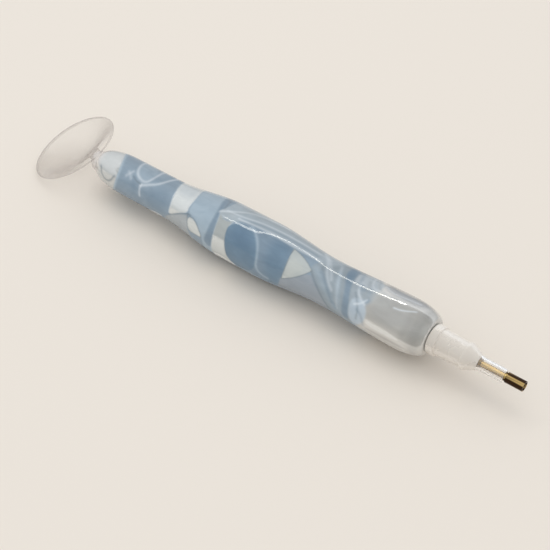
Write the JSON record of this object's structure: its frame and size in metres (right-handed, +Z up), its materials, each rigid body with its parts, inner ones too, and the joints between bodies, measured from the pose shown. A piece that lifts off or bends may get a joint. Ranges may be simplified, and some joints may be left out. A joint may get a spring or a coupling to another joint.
{
  "type": "bead drill pen",
  "caption": "Turned marbled resin pen for picking up small beads, with a stepped tube tip in a plastic holder and a soft suction cup on its back end.",
  "frame": {"origin": "on the table, under the middle of the bounding box", "axes": "+X along the level pen from the suction cup to the tip, +Z up from the table that the belly and the cup's rim rest on"},
  "size_m": [0.1878, 0.0294, 0.0175],
  "materials": {
    "resin": "polished cast resin, clear with blue and white swirls",
    "holder_plastic": "frosted clear moulded plastic",
    "brass": "polished, darker on the head",
    "soft_pvc": "clear soft moulded PVC"
  },
  "bodies": {
    "barrel": {"barrel": "resin"},
    "nib_holder": {"nib_holder": "holder_plastic"},
    "placer_tip": {"placer_tip": "brass"},
    "cup_plug": {"cup_plug": "soft_pvc"},
    "cup_dish": {"cup_dish": "soft_pvc"}
  },
  "joints": [
    {"name": "nib_pull", "type": "slide", "parent": "barrel", "child": "nib_holder", "axis": [1, 0, 0], "range_m": [0, 0.018]},
    {"name": "placer_pull", "type": "slide", "parent": "nib_holder", "child": "placer_tip", "axis": [1, 0, 0], "range_m": [0, 0.014]},
    {"name": "cup_swivel", "type": "hinge", "parent": "barrel", "child": "cup_plug", "pos_m": [-0.06341, -0.0007, 0.00876], "axis": [-1, 0, 0], "continuous": true},
    {"name": "cup_flex", "type": "hinge", "parent": "cup_plug", "child": "cup_dish", "pos_m": [-0.06806, -0.0007, 0.00876], "axis": [0, -0.9505, -0.3107], "range_deg": [-5, 30], "stiffness_Nm_per_rad": 0.01}
  ]
}
